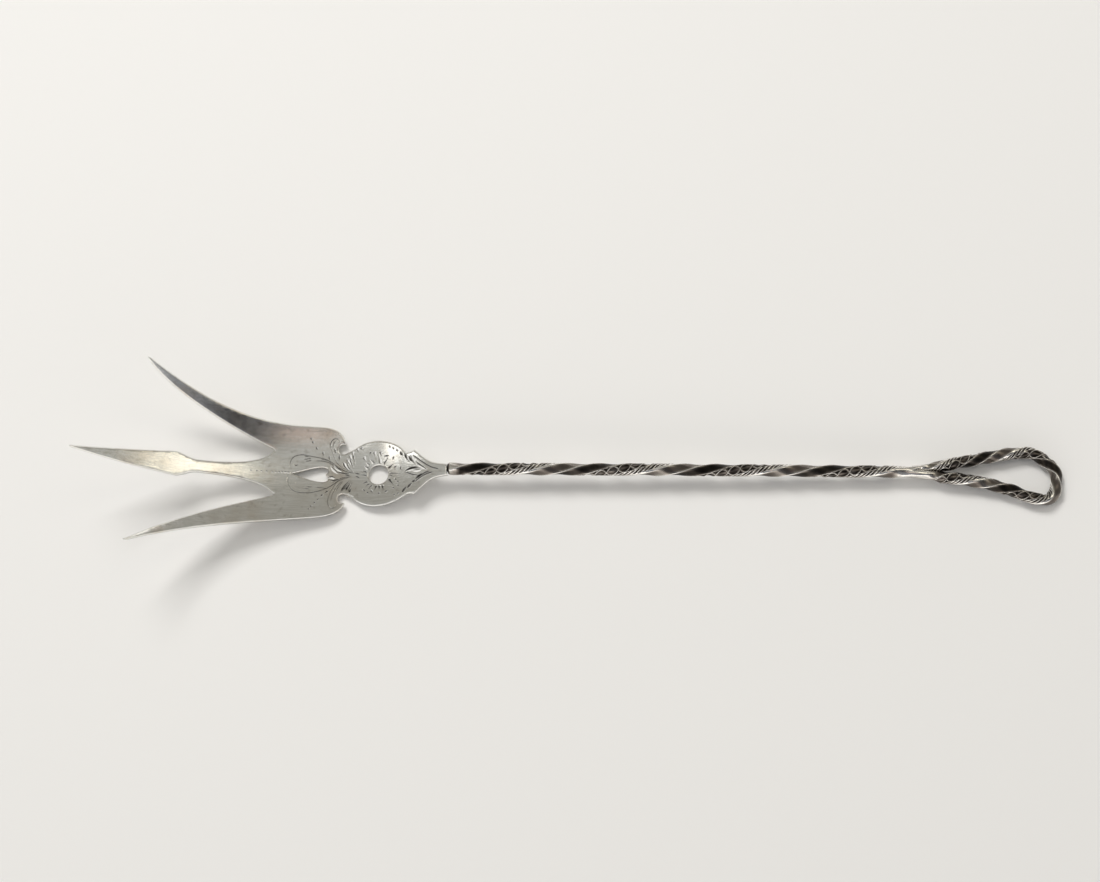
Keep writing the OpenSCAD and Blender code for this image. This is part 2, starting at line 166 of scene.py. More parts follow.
def sheet_z(s, t, below):
    """Height of the top surface, or of the underside, s from the collar and t from the axis."""
    x = COLLAR_X - s
    cup = CUP_R + (SHEET_T if below else 0.0)
    sag = cup - np.sqrt(cup ** 2 - t ** 2)
    thick = SHEET_T if below else 0.0
    thin = THINNING if below else 0.0
    tine = LOW_Z + TINE_R - thin - np.sqrt((TINE_R - thin + thick - sag) ** 2 - (x - LOW_X) ** 2)
    palm = LOW_Z + NECK_R - root((NECK_R + thick - sag) ** 2 - (x - LOW_X) ** 2)
    neck = COLLAR_Z - NECK_R + root((NECK_R - thick + sag) ** 2 - (x - COLLAR_X) ** 2)
    side = ((x - LOW_X - PALM_LOW / 2) * math.cos(NECK_A)
            + (palm - LOW_Z - NECK_RISE / 2) * math.sin(NECK_A))
    z = np.where(x <= LOW_X, tine, np.where(side <= 0, palm, neck))
    if below:
        drop = WIRE_Z - STEM_BEND_R + np.sqrt(STEM_BEND_R ** 2 - np.minimum(s, STEM_RUN) ** 2)
        stem = drop - root(STEM_R ** 2 - t ** 2, 0.0)
        z = np.where((np.abs(t) < STEM_R) & (s < STEM_RUN), np.minimum(z, stem), z)
    return z


# Bright-cut ornament
# A cut is its half width, slope, tarnish with painted shade, lean of its bottom line and painted gleam, and
# its points are (s, t)

# Tarnish is oxide in the cut and painted shade on the wall nearer the light, which faces away from it;
# gleam is a painted highlight on the far wall, which faces the light. The third kind paints the strongest
# highlight and the fourth the most shade.
FINE, CUT = (0.085, 0.9, 0.9, 0.0, 0.0), (0.23, 0.85, 0.95, 0.0, 0.4)
LIT, SHADED_CUT = (0.37, 0.75, 0.95, 0.5, 1.0), (0.31, 0.85, 1.0, -0.45, 0.35)
STROKES = []


def add(cut, shape, *strokes):
    """Adds strokes that share a cut and a way in which their width runs."""
    for points in strokes:
        STROKES.append((*cut, shape, points))


# C-scrolls round the drop window
add(FINE, "line",
    [(37.92, 1.29), (37.89, 2.5), (37.4, 3.58), (36.45, 4.22), (34.98, 4.47), (33.05, 4.21), (30.98, 3.87),
     (29.42, 3.51), (27.98, 2.81), (26.14, 1.49), (24.43, 0.57), (22.47, 0.17)],
    [(38.41, -1.17), (38.42, -2.41), (37.86, -3.63), (37.0, -4.5), (35.7, -4.94), (33.78, -5.01),
     (32.0, -4.74), (30.1, -4.13), (28.45, -3.33), (27.19, -2.41), (25.8, -1.49), (23.62, -0.79)],
    [(31.8, 3.12), (30.32, 3.09), (28.89, 2.79), (27.84, 2.14), (26.91, 1.35), (25.4, 0.6)],
    [(31.79, -3.55), (30.63, -3.52), (29.21, -3.69), (28.07, -3.04), (26.6, -1.9), (25.2, -1.2)],
    [(36.16, 2.57), (36.27, 1.9), (36.72, 1.81), (36.98, 2.0)],
    [(36.4, -2.05), (36.32, -2.32), (36.56, -2.67)],
    [(30.6, 3.55), (29.0, 3.2), (27.4, 2.1), (25.9, 1.15), (24.2, 0.45)],
    [(28.0, -2.4), (26.6, -1.5), (25.0, -0.9), (23.4, -0.5)])

# Curls beside the notches
add(FINE, "line",
    [(26.44, 7.55), (26.38, 8.0), (26.77, 8.45), (27.42, 8.5), (27.94, 8.17), (28.32, 7.27), (28.24, 6.23),
     (27.63, 4.41), (26.82, 2.83), (25.49, 1.64), (23.65, 0.71)],
    [(27.58, 5.46), (27.79, 6.37), (27.67, 7.28), (27.22, 7.93)],
    [(26.19, -1.22), (27.42, -3.17), (28.38, -5.15), (28.68, -7.13), (28.37, -8.27), (27.71, -8.83),
     (26.95, -8.53), (26.71, -8.03)],
    [(25.66, -1.77), (27.02, -3.72), (27.73, -5.42), (28.05, -6.98)],
    [(25.2, -1.6), (26.3, -3.3), (27.0, -4.6)])

# Short cuts inside the scrolls
add(FINE, "spindle",
    [(34.64, 3.36), (33.04, 3.68)], [(34.59, 4.09), (33.43, 4.16)], [(34.18, 2.91), (33.02, 3.15)],
    [(34.6, -3.9), (33.2, -3.95)], [(33.9, -3.4), (32.7, -3.45)])

# Sprays that rise from the scrolls
add(CUT, "spindle",
    [(33.05, 8.56), (32.98, 8.31)], [(32.65, 7.74), (32.52, 7.36)], [(31.73, 6.41), (31.53, 5.9)],
    [(30.23, 5.41), (30.02, 4.49)], [(28.73, 4.39), (28.51, 3.46)], [(27.39, 6.11), (27.12, 5.2)],
    [(26.2, 4.56), (26.25, 3.5)], [(32.61, -8.23), (32.46, -8.59)], [(31.93, -7.64), (31.75, -7.35)],
    [(31.2, -6.76), (30.9, -6.47)], [(30.48, -5.83), (29.92, -5.32)], [(29.42, -4.89), (28.67, -4.31)],
    [(33.21, -8.97), (33.07, -9.18)])

# Fans between the notches
add(LIT, "drop",
    [(25.22, 2.87), (24.64, 1.73), (23.52, 0.59)], [(24.36, 3.63), (24.13, 3.25), (23.4, 2.02)],
    [(23.88, 4.67), (23.22, 3.54)], [(23.11, 5.6), (22.87, 4.48)], [(21.95, 6.3), (21.6, 5.6)],
    [(20.95, 6.45), (20.65, 6.0)])
add(CUT, "drop",
    [(25.6, 3.1), (24.95, 1.85), (23.9, 0.85), (22.48, 0.3)], [(24.5, 2.9), (23.93, 1.7), (22.87, 0.57)],
    [(23.75, 3.9), (23.3, 2.7), (22.64, 1.3)], [(22.95, 4.7), (22.7, 3.6), (22.39, 2.33)])
add(SHADED_CUT, "drop",
    [(25.64, -4.48), (24.87, -3.03), (23.73, -1.59)], [(24.55, -4.23), (24.04, -3.22), (23.34, -2.0)],
    [(23.7, -4.7), (23.17, -3.5)])
add(CUT, "drop", [(25.1, -4.3), (24.4, -3.0), (23.4, -1.7)], [(24.0, -4.6), (23.6, -3.6), (23.06, -2.3)])

# Petals from the broad end of the window
add(LIT, "spindle",
    [(28.31, 1.87), (27.55, 0.93), (26.43, -0.02)], [(27.6, 2.2), (26.7, 1.25), (25.5, 0.45)],
    [(28.86, -1.03), (28.04, -0.92), (27.12, -1.19)])
add(CUT, "spindle",
    [(28.52, -1.5), (27.48, -1.75), (26.2, -1.3)], [(24.93, -0.25), (23.62, -0.52)],
    [(26.77, 0.5), (25.2, 0.1), (23.64, 0.0)], [(22.4, 0.1), (21.3, -0.1)], [(22.3, -0.6), (21.4, -1.0)])

# Sun rays round the hole, and the small cuts outside them
add(LIT, "drop",
    [(17.88, 2.33), (19.08, 3.88)], [(16.23, 2.38), (16.53, 3.59), (16.81, 4.73)],
    [(19.26, 1.17), (20.39, 2.08)], [(20.36, 4.16), (19.86, 3.28)], [(17.86, 5.4), (17.55, 4.39)],
    [(16.3, 5.35), (16.1, 4.56)], [(19.05, 2.0), (20.0, 3.0)])
add(CUT, "drop",
    [(15.47, 2.26), (14.52, 3.74)], [(14.17, -0.1), (11.64, -0.39)], [(18.23, -2.9), (18.98, -3.74)],
    [(19.31, -2.0), (20.53, -2.45)], [(19.59, -0.44), (20.96, -0.18)], [(14.16, -0.5), (13.03, -1.1)],
    [(19.6, 0.4), (20.9, 0.7)], [(18.9, -2.5), (19.8, -3.2)])
add(SHADED_CUT, "drop",
    [(14.42, 1.15), (13.34, 2.03)], [(14.42, -1.4), (13.13, -3.09)], [(15.77, -3.07), (15.48, -4.08)],
    [(17.2, -2.95), (17.61, -4.09)], [(16.5, -3.1), (16.5, -3.9)])
add(CUT, "spindle",
    [(14.33, 4.3), (15.3, 4.2)], [(13.16, 3.95), (13.3, 3.3)], [(11.48, 1.4), (11.3, 0.6)],
    [(12.3, -2.2), (11.9, -2.6)], [(12.19, -3.26), (11.86, -3.6)], [(13.4, -3.7), (12.93, -4.1)],
    [(15.23, -4.8), (14.46, -4.5)], [(16.75, -5.17), (16.3, -4.95)], [(18.16, -4.7), (18.49, -4.1)],
    [(20.48, -3.89), (20.0, -4.39)], [(18.9, 4.9), (18.6, 5.4)], [(19.6, -4.6), (19.1, -5.0)],
    [(13.0, 1.2), (12.5, 1.5)], [(12.9, -1.6), (12.5, -1.9)])

# Cuts that grow along the shoulders
add(CUT, "spindle",
    [(14.23, 6.58), (14.0, 6.25)], [(13.42, 6.25), (13.11, 5.78)], [(12.52, 5.68), (12.14, 5.15)],
    [(11.99, -5.55), (11.75, -5.22)], [(12.97, -5.85), (12.66, -5.58)])
add(SHADED_CUT, "spindle",
    [(11.6, 4.95), (11.0, 4.0)], [(10.5, 4.5), (9.8, 3.0)], [(9.5, 3.75), (8.6, 2.2)],
    [(10.99, -5.45), (9.88, -3.85)], [(9.68, -4.35), (8.63, -3.08)], [(8.51, -3.01), (7.87, -2.36)])
add(LIT, "spindle", [(8.95, 3.85), (7.85, 1.7)], [(10.1, 3.9), (9.3, 2.4)])

# Pointed leaf and the V lines that run to the collar
add(SHADED_CUT, "spindle",
    [(10.42, 0.04), (8.86, 0.63), (7.23, 0.79)], [(7.78, -2.23), (6.97, -1.52), (6.15, -0.94)])
add(LIT, "spindle",
    [(9.9, 0.12), (8.1, 0.3), (5.98, 0.3)], [(8.6, 0.0), (7.4, -0.1), (6.3, 0.05)],
    [(7.5, 1.5), (6.3, 0.7), (5.2, 0.0)])
add(CUT, "spindle",
    [(10.34, -0.17), (8.64, -1.0), (7.06, -1.3)], [(8.05, 2.4), (6.27, 0.85), (5.0, 0.05)])
add(CUT, "line",
    [(8.5, 3.76), (6.29, 1.98), (4.24, 0.62), (2.2, -0.05)], [(7.95, -3.0), (5.86, -1.5), (3.58, -0.65)],
    [(7.1, -1.9), (5.6, -0.9), (4.3, -0.4)])

# Row of dots that grow from the centre tine to the window
DOTS_AT = (47.1, 45.75, 44.7, 43.5, 42.1, 41.25, 40.5, 39.8, 39.05, 38.35)
DOT_W, DOT_HALF, DOT_T, DOT_CUT = 0.15, 0.16, 0.05, (0.7, 0.8, 0.3, 1.0)
WIDER, LONGER = 0.013, 0.01
for k, s in enumerate(DOTS_AT):
    add((DOT_W + WIDER * k, *DOT_CUT), "spindle",
        [(s + DOT_HALF + LONGER * k, DOT_T), (s - DOT_HALF - LONGER * k, DOT_T)])

# Where the light comes from in the plan, how a stroke's width runs, and how the tarnish with painted shade
# and the painted highlight end
LIGHT_FROM = np.array([0.6, 0.8])
LINE_TAPER, SPINDLE_POWER, DROP_SWELL, DROP_TAPER = 0.5, 0.7, 6, 1.25
THINNEST, DROP_THINNEST = 0.1, 0.08
CUT_REACH, CUT_BLEND, TARNISH_AND_SHADE_RIM, PAINTED_HIGHLIGHT_RIM = 1.4, 0.15, (0.9, 1.2), (-1.25, -0.95)
FAR = 1e9


def smooth_path(points, step=0.1, curve_n=24):
    """A Catmull-Rom line through the points, at even steps."""
    p = np.array(points, float)
    if len(p) > 2:
        q = np.vstack([2 * p[0] - p[1], p, 2 * p[-1] - p[-2]])
        t = np.linspace(0, 1, curve_n, endpoint=False)[:, None]
        rows = [0.5 * (2 * b + (c - a) * t + (2 * a - 5 * b + 4 * c - d) * t ** 2
                       + (3 * b - a - 3 * c + d) * t ** 3) for a, b, c, d in zip(q, q[1:], q[2:], q[3:])]
        p = np.vstack(rows + [p[-1:]])
    along = np.concatenate([[0], np.cumsum(np.linalg.norm(np.diff(p, axis=0), axis=1))])
    n = max(4, round(along[-1] / step))
    u = np.linspace(0, along[-1], n + 1)
    return np.column_stack([np.interp(u, along, p[:, 0]), np.interp(u, along, p[:, 1])])


def width_along(shape, n, w, length):
    """Half widths at n points: a line with short tapers, a drop with a blunt start, or a spindle."""
    u = np.linspace(0, 1, n)
    if shape == "line":
        return w * np.clip(np.minimum(u, 1 - u) * length / LINE_TAPER, THINNEST, 1)
    if shape == "drop":
        return w * np.clip(np.minimum(u * DROP_SWELL, (1 - u) * DROP_TAPER), DROP_THINNEST, 1)
    return w * np.clip(np.sin(np.pi * u) ** SPINDLE_POWER, THINNEST, 1)


def stroke_bands():
    """Each stroke as its centre line, vectors to its shaded side, half widths, and the rest of its cut."""
    bands = []
    for w, slope, dark, lean, painted_gleam, shape, points in STROKES:
        line = smooth_path(points)
        run = np.gradient(line, axis=0)
        run /= np.linalg.norm(run, axis=1)[:, None]
        side = np.column_stack([-run[:, 1], run[:, 0]])
        if (side @ LIGHT_FROM).mean() < 0:
            side = -side
        length = np.linalg.norm(np.diff(line, axis=0), axis=1).sum()
        bands.append((line, side, width_along(shape, len(line), w, length), slope, dark, lean, painted_gleam))
    return bands


def groove_depth(xy, bands):
    """How deep the ornament is cut at each point, in millimetres, its tarnish and painted shade, and its
    painted highlight.
    """
    deep = np.zeros(len(xy))
    tarnish_and_shade = np.zeros(len(xy))
    painted_highlight = np.zeros(len(xy))
    for line, side, wide, slope, dark, lean, painted_gleam in bands:
        reach = CUT_REACH * wide.max()
        near = np.where((xy[:, 0] > line[:, 0].min() - reach) & (xy[:, 0] < line[:, 0].max() + reach)
                        & (xy[:, 1] > line[:, 1].min() - reach) & (xy[:, 1] < line[:, 1].max() + reach))[0]
        if not len(near):
            continue
        gap = np.full(len(near), FAR)
        room = np.ones(len(near))
        hand = np.ones(len(near))
        for a, b, n, wa, wb in zip(line[:-1], line[1:], side, wide[:-1], wide[1:]):
            ab = b - a
            off = xy[near] - a
            u = np.clip((off @ ab) / (ab @ ab), 0, 1)
            d = np.linalg.norm(off - u[:, None] * ab, axis=1)
            closer = d < gap
            gap[closer] = d[closer]
            room[closer] = (wa + (wb - wa) * u)[closer]
            hand[closer] = np.sign(off @ n)[closer]
        over = hand * gap / room
        q = np.clip(over, -1, 1)
        fall = np.where(q > lean, (1 - q) / (1 - lean), (1 + q) / (1 + lean))
        deep[near] = np.maximum(deep[near], slope * room * fall)
        # Tarnish, with painted shade, along the bottom and up the wall nearer the light, which faces away
        # from it
        shade = np.interp(over, [lean - 2 * CUT_BLEND, lean + CUT_BLEND, *TARNISH_AND_SHADE_RIM], [0, 1, 1, 0])
        tarnish_and_shade[near] = np.maximum(tarnish_and_shade[near], dark * shade)
        # A painted highlight up the far wall, which faces the light
        lit = np.interp(over, [*PAINTED_HIGHLIGHT_RIM, lean - CUT_BLEND, lean + CUT_BLEND], [0, 1, 1, 0])
        painted_highlight[near] = np.maximum(painted_highlight[near], painted_gleam * lit)
    return deep, tarnish_and_shade, painted_highlight


# Meshes

# How a softened edge falls: even as far as BEND of its width, then in a curve
BEND, EDGE_SLOPE, EDGE_STEEPENS = 0.44, 0.85, 1.5
EDGE_RINGS, RING_KEPT = (0.22, BEND, 0.7, 1.0), 0.93
# Widths of the softened edges: above, what is added where a rim faces the light, at the openings, and below
EDGE_W, EDGE_LIT, EDGE_OPENING, EDGE_BELOW, LIT_FULLY = 0.2, 0.27, 0.22, 0.2, 0.5
# Spacing of the points, fine up to a length from the collar and coarse from there on
TOP_GRID, LOW_GRID, GRID_HALF = (0.17, 0.6, 48.0), (0.35, 0.9, 12.0), 25
GRID_CLEAR, GRID_CLEAR_MAX, CUT_CLEAR, CUT_SHARE = 0.35, 0.3, 0.12, 0.5
CUT_OUTSIDE, CUT_POINT_GAP, WELD = 1.3, 0.04, 1e-5


def inside(xy, loops):
    """Even-odd test of points against closed loops."""
    hit = np.zeros(len(xy), bool)
    for loop in loops:
        for (x1, y1), (x2, y2) in zip(loop, np.roll(loop, -1, 0)):
            if y1 != y2:
                cross = ((y1 > xy[:, 1]) != (y2 > xy[:, 1])) & (
                    xy[:, 0] < (x2 - x1) * (xy[:, 1] - y1) / (y2 - y1) + x1)
                hit ^= cross
    return hit


def tree_of(points):
    """A tree that finds the nearest of the points in the plan."""
    tree = KDTree(len(points))
    for i, p in enumerate(points):
        tree.insert((p[0], p[1], 0), i)
    tree.balance()
    return tree


def nearest(tree, xy):
    """Distance from each point to the tree."""
    return np.array([tree.find((x, y, 0))[2] for x, y in xy])


def signed_area(loop):
    """Twice the area of a closed loop, above 0 where it runs counterclockwise."""
    return (loop[:, 0] * np.roll(loop[:, 1], -1) - np.roll(loop[:, 0], -1) * loop[:, 1]).sum()


def outward(loop):
    """Unit vectors that point out of a closed loop at its points."""
    run = np.roll(loop, -1, 0) - np.roll(loop, 1, 0)
    run /= np.maximum(np.linalg.norm(run, axis=1), 1e-9)[:, None]
    return np.column_stack([run[:, 1], -run[:, 0]]) * np.sign(signed_area(loop))


def dense(loop, wide, step=0.05):
    """Points along the loop's edges, each with the width of its softened edge."""
    out = []
    for a, b, u, v in zip(loop, np.roll(loop, -1, 0), wide, np.roll(wide, -1)):
        n = max(1, math.ceil(np.linalg.norm(b - a) / step))
        out += [(*(a + (b - a) * i / n), u + (v - u) * i / n) for i in range(n)]
    return np.array(out)


def edge_drop(d, wide):
    """How far a softened edge of a given width has dropped at distance d inside it."""
    u = np.clip(d / wide, 0, 1)
    slope = EDGE_SLOPE + EDGE_STEEPENS * wide
    return wide * slope * np.where(u < BEND, (1 + BEND) / 2 - u, (1 - u) ** 2 / (2 * (1 - BEND)))


def layer(loops, extra, spacing_fine, spacing_coarse, fine_to, widths):
    """The sheet's plan: points, triangles, the rows of its rims, and how far its edges have dropped."""
    rims = [dense(l, w) for l, w in zip(loops, widths)]
    trees = [tree_of(r) for r in rims]
    rings, want = [], []
    for loop, wide in zip(loops, widths):
        for part in EDGE_RINGS:
            for sign in (1, -1):
                rings.append(loop + (sign * part * wide)[:, None] * outward(loop))
                want.append(part * wide)
    rings, want = np.vstack(rings), np.concatenate(want)
    gaps = np.min([nearest(tree, rings) for tree in trees], axis=0)
    rings = rings[(gaps > RING_KEPT * want) & inside(rings, loops)]
    grids = []
    for spacing, lo, hi in ((spacing_fine, 0.0, fine_to), (spacing_coarse, fine_to, HEAD_LEN)):
        steps = np.arange(lo + spacing / 2, hi, spacing)
        s, t = np.meshgrid(steps, np.arange(-GRID_HALF, GRID_HALF, spacing))
        s = s + (np.arange(len(s)) % 2)[:, None] * spacing / 2
        g = np.column_stack([s.ravel(), t.ravel()])
        g = g[g[:, 0] < hi - spacing / 4]
        g = g[inside(g, loops)]
        for tree, wide in zip(trees, widths):
            clear = wide.max() + GRID_CLEAR * min(spacing, GRID_CLEAR_MAX)
            g = g[nearest(tree, g) > clear]
        grids.append(g)
    grid = np.vstack(grids)
    if len(extra):
        extra = extra[inside(extra, loops)]
        extra = extra[np.min([nearest(tree, extra) for tree in trees], axis=0) > CUT_CLEAR]
        grid = grid[nearest(tree_of(extra), grid) > CUT_SHARE * spacing_fine]
        grid = np.vstack([grid, extra])
    points = np.vstack(loops + [rings, grid])
    edges, at = [], 0
    for l in loops:
        edges += [(at + i, at + (i + 1) % len(l)) for i in range(len(l))]
        at += len(l)
    out = delaunay_2d_cdt([Vector(p) for p in points], edges, [], 0, WELD)
    xy = np.array([(v[0], v[1]) for v in out[0]])
    tris = np.array(out[2])
    tris = tris[inside(xy[tris].mean(1), loops)]
    where = {}
    for new, olds in enumerate(out[3]):
        for old in olds:
            where[old] = new
    rows, at = [], 0
    for l in loops:
        rows.append([where[at + i] for i in range(len(l))])
        at += len(l)
    lower = np.zeros(len(xy))
    for rim, tree in zip(rims, trees):
        found = [tree.find((x, y, 0)) for x, y in xy]
        gap, wide = np.array([f[2] for f in found]), rim[[f[1] for f in found], 2]
        lower = np.maximum(lower, edge_drop(gap, wide))
    return xy, tris, rows, lower


def new_mesh(name, points, faces, attributes=()):
    """A smooth mesh in the scene, with its attributes as name and values at the points."""
    mesh = bpy.data.meshes.new(name)
    mesh.from_pydata([tuple(p) for p in points], [], [tuple(int(i) for i in f) for f in faces])
    for key, values in attributes:
        stored = mesh.attributes.new(key, "FLOAT", "POINT")
        stored.data.foreach_set("value", np.asarray(values, dtype=np.float32))
    mesh.update()
    mesh.shade_smooth()
    obj = bpy.data.objects.new(name, mesh)
    bpy.context.scene.collection.objects.link(obj)
    return obj


def cut_points(bands):
    """Points along every stroke: outside it, on its edges, down its walls and along its bottom line."""
    rows = []
    for line, side, wide, _, _, lean, _ in bands:
        for k in (-CUT_OUTSIDE, -1, lean / 2 - 0.5, lean, lean / 2 + 0.5, 1, CUT_OUTSIDE):
            rows.append(line + side * (k * wide)[:, None])
    kept = {}
    for p in np.vstack(rows):
        kept.setdefault((round(p[0] / CUT_POINT_GAP), round(p[1] / CUT_POINT_GAP)), p)
    return np.array(list(kept.values()))


def turned(tris, xy, up):
    """The triangles turned to face up or down; X runs against s, so the plan is seen turned over."""
    a, b, c = xy[tris[:, 0]], xy[tris[:, 1]], xy[tris[:, 2]]
    area = (b[:, 0] - a[:, 0]) * (c[:, 1] - a[:, 1]) - (b[:, 1] - a[:, 1]) * (c[:, 0] - a[:, 0])
    flip = (area > 0) == up
    tris = tris.copy()
    tris[flip] = tris[flip][:, ::-1]
    return tris


def build_head():
    loops = [head_outline(), hole_outline(), window_outline()]
    bands = stroke_bands()
    # The edge that faces the light is rounded the widest
    facing = np.clip(outward(loops[0])[:, 1] / LIT_FULLY, 0, 1)
    top_wide = [EDGE_W + EDGE_LIT * facing] + [np.full(len(l), EDGE_OPENING) for l in loops[1:]]
    low_wide = [np.full(len(l), EDGE_BELOW) for l in loops]
    top, top_tris, top_rows, top_lower = layer(loops, cut_points(bands), *TOP_GRID, top_wide)
    low, low_tris, low_rows, low_lower = layer(loops, [], *LOW_GRID, low_wide)
    deep, tarnish_and_shade, painted_highlight = groove_depth(top, bands)
    top_z = sheet_z(top[:, 0], top[:, 1], False) - top_lower - deep
    low_z = sheet_z(low[:, 0], low[:, 1], True) + low_lower
    n = len(top)
    xyz = np.vstack([
        np.column_stack([COLLAR_X - top[:, 0], AXIS_Y + top[:, 1], top_z]),
        np.column_stack([COLLAR_X - low[:, 0], AXIS_Y + low[:, 1], low_z])])
    faces = turned(top_tris, top, True).tolist() + (turned(low_tris, low, False) + n).tolist()
    for loop, above, below in zip(loops, top_rows, low_rows):
        as_built = (signed_area(loop) > 0) == (loop is loops[0])
        for i in range(len(above)):
            j = (i + 1) % len(above)
            quad = [above[i], above[j], below[j] + n, below[i] + n]
            faces.append(quad if as_built else quad[::-1])
    # The top carries the cuts' tarnish with painted shade, and their painted highlight; the underside
    # carries neither
    plain = np.zeros(len(low))
    painted = [("cut", np.concatenate([tarnish_and_shade, plain])), ("painted_gleam", np.concatenate([painted_highlight, plain]))]
    return new_mesh("head_sheet", xyz * MM, faces, painted)


# Twisted handle

WIRE_R, FACE_R, ARRIS = 1.52, 1.24, 0.02
TWIST_PITCH, FIRST_CHASED = 27.9, 14.0
LOOP_LEN, LOOP_LEFT, LOOP_RIGHT, SCARF_LEN, HANDLE_LEAN = 36.4, 5.2, 6.5, 7.0, 0.2
SHAFT_LEN = HANDLE_LEN - LOOP_LEN
SPLIT_X = COLLAR_X + HANDLE_LEN - LOOP_LEN
END_X = COLLAR_X + HANDLE_LEN - WIRE_R
FLOOR_GAP = 0.02
REST_Z = WIRE_R + FLOOR_GAP
LEG_Y = 0.43 * WIRE_R

# Where the faces end round the section, in degrees: a chased one, a reeded one and two plain ones
FACE_ENDS = (0, 100, 166, 262, 360)
CHASED_MID = 50.0
OVAL_LEN, OVAL_SWING, OVAL_POWER, CHASE_DEPTH, RIDGE_W = 2.9, 45, 0.8, 0.24, 0.18
NICK_W, NICK_SWING, NICK_GAP = 0.1, 0.08, 1.05
WORN, WORN_SWING, WORN_RATE, WORN_MID, WORN_SPREAD = 0.12, 0.1, 2.3, 0.3, 13
CHASED_OXIDE, RIDGE_OXIDE = 1.2, 0.1
REED_GAP, REED_SLANT, REED_END, REED_FADE, REED_POWER, REED_DEPTH = 1.35, 28, 148, 6, 0.8, 0.21
REED_EVEN, REED_SWING, REED_RATE, REED_OXIDE = 0.8, 0.2, 1.7, 1.15
PLAIN_HOLLOW, PLAIN_DULL, PLAIN_OXIDE = 2.2, 5, (0.56, 0.9)

# Where the wire is smoothed, by its length to the split and before its end
SMOOTH_AT, SMOOTH_END = (105.9, 107.4, 115.2, 118.2), (4.5, 2.8)
SMOOTHED, SMOOTH_FILL, SMOOTH_BELOW = 0.8, 0.1, 0.08

# Joint at the collar: how far the wire is drawn in, where it ends, and where the wire is paler
JOINT_SIZE, JOINT_FROM, JOINT_RUN, JOINT_OXIDE = 0.82, 0.12, 0.3, 0.9
PALE_AT, PALE_LEFT = [0.7, 1.9, 2.9], [0.3, 0.4, 1]
SEAM_OXIDE, SCARF_OXIDE, ROUTE_STEP, TANGENT_STEP = 0.9, 0.15, 0.4, 0.4

# Points round the section, closer where the relief is finer
RING_GAP = 0.13
CHASED_N, REED_N = 26, 16
PLAIN_AT = np.array([0, 0.07, 0.15, 0.29, 0.5, 0.71, 0.85, 0.93])
TURN = np.concatenate([np.linspace(*FACE_ENDS[:2], CHASED_N, endpoint=False),
                       np.linspace(*FACE_ENDS[1:3], REED_N, endpoint=False),
                       FACE_ENDS[2] + (FACE_ENDS[3] - FACE_ENDS[2]) * PLAIN_AT,
                       FACE_ENDS[3] + (FACE_ENDS[4] - FACE_ENDS[3]) * PLAIN_AT])
FACE_OF = np.searchsorted(FACE_ENDS, TURN, side="right") - 1
RING_N = len(TURN)
HALF_N = RING_N // 2


def centre_z(x):
    """Height of the wire's centre line, which falls from the collar to the end of the loop."""
    return WIRE_Z - (WIRE_Z - REST_Z) * ((x - COLLAR_X) / (END_X - COLLAR_X)) ** 2


def lean_y(x):
    """The shaft's centre line to the side, a little off the axis at the collar."""
    return AXIS_Y + HANDLE_LEAN * max(0.0, (SPLIT_X - x) / (SPLIT_X - COLLAR_X))


def loop_route():
    """Centre line of the loop in the plan, from the split round the end and back."""
    turn_at = np.array([END_X - 8.6, 1.3 - LOOP_RIGHT])
    pull = np.array([5.5, -2.4])
    end_at = np.array([END_X, -0.5])
    back_at = np.array([END_X - 7.3, LOOP_LEFT])
    return np.array(
        cubic([SPLIT_X, -LEG_Y], [SPLIT_X + 12.5, -1.9 * LEG_Y], turn_at - 0.9 * pull, turn_at, ROUTE_STEP)
        + cubic(turn_at, turn_at + pull, [END_X, -0.8 - LOOP_RIGHT], end_at, ROUTE_STEP)
        + cubic(end_at, end_at + [0, 1.8], back_at + [3.4, 0], back_at, ROUTE_STEP)
        + cubic(back_at, back_at - [6, 0], [SPLIT_X + 14, 3.4 * LEG_Y], [SPLIT_X, LEG_Y], ROUTE_STEP)
        + [[SPLIT_X, LEG_Y]])


ROUTE = loop_route()
ROUTE_S = np.concatenate([[0], np.cumsum(np.linalg.norm(np.diff(ROUTE, axis=0), axis=1))])
LOOP_PATH = ROUTE_S[-1]
# The loop twists as far as this length of shaft would
LOOP_TWIST_LEN, LOOP_EASED = 98.6, 12
LOOP_TIGHTER = LOOP_TWIST_LEN / (LOOP_PATH - LOOP_EASED) - 1


def loop_point(s):
    """Point of the loop's centre line at length s from the split."""
    x = np.interp(s, ROUTE_S, ROUTE[:, 0])
    return np.array([x, AXIS_Y + np.interp(s, ROUTE_S, ROUTE[:, 1]), centre_z(x)])


def near_split(s):
    """1 on the smooth stretches where the wire divides and where it ends, and 0 away from them."""
    first = np.interp(s, SMOOTH_AT, [0, 1, 1, 0])
    end = SHAFT_LEN + LOOP_PATH
    return float(max(first, np.interp(s, [end - SMOOTH_END[0], end - SMOOTH_END[1]], [0, 1])))


